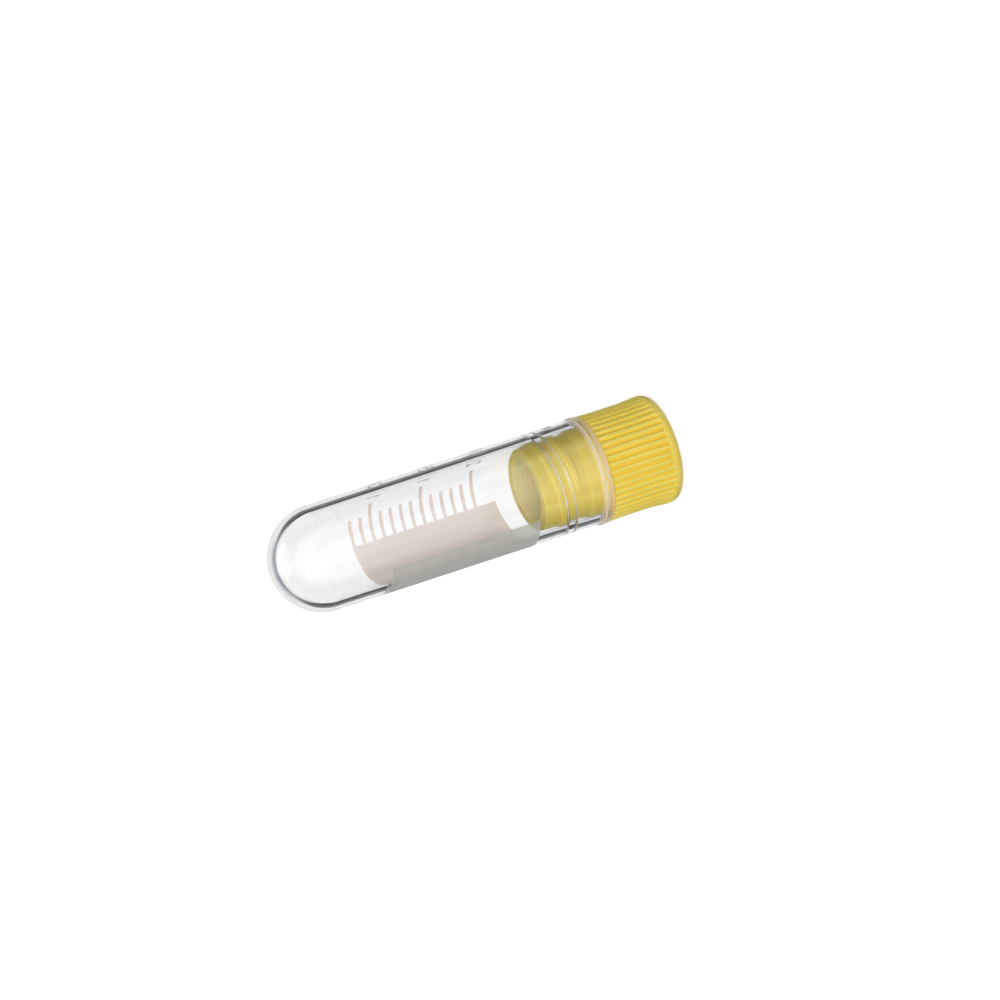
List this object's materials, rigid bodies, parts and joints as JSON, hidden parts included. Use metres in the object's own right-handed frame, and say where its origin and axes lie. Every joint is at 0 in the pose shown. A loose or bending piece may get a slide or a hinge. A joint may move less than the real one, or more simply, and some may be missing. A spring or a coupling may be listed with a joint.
{
  "type": "cryovial",
  "caption": "Round-bottomed cryogenic vial: a clear tube with a printed scale, closed by a ribbed yellow screw cap whose threaded hollow plug seals inside the tube.",
  "frame": {"origin": "centre of the cap's top face, which the vial stands on", "axes": "+Z along the vial's axis, from the cap to the tube's round end; X and Y across it, with the printed writing area from -X round by -Y"},
  "size_m": [0.0125, 0.0124, 0.0483],
  "materials": {
    "tube_plastic": "clear natural polypropylene, glossy inside and out",
    "cap_plastic": "yellow polypropylene, satin as moulded",
    "washer_silicone": "translucent silicone rubber",
    "white_ink": "off-white screen-printed writing area and scale"
  },
  "bodies": {
    "cap": {"screw_cap": "cap_plastic"},
    "washer": {"gasket": "washer_silicone"},
    "tube": {"tube": "tube_plastic"}
  },
  "joints": [
    {"name": "tube_turn", "type": "hinge", "parent": "cap", "child": "washer", "pos_m": [0, 0, 0], "axis": [0, 0, 1], "range_deg": [0, 1440]},
    {"name": "tube_lift", "type": "slide", "parent": "washer", "child": "tube", "axis": [0, 0, 1], "range_m": [0, 0.0096]}
  ],
  "couplings": [
    {"joint": "tube_turn", "follows": "tube_lift", "rad_per_m": 2618}
  ]
}
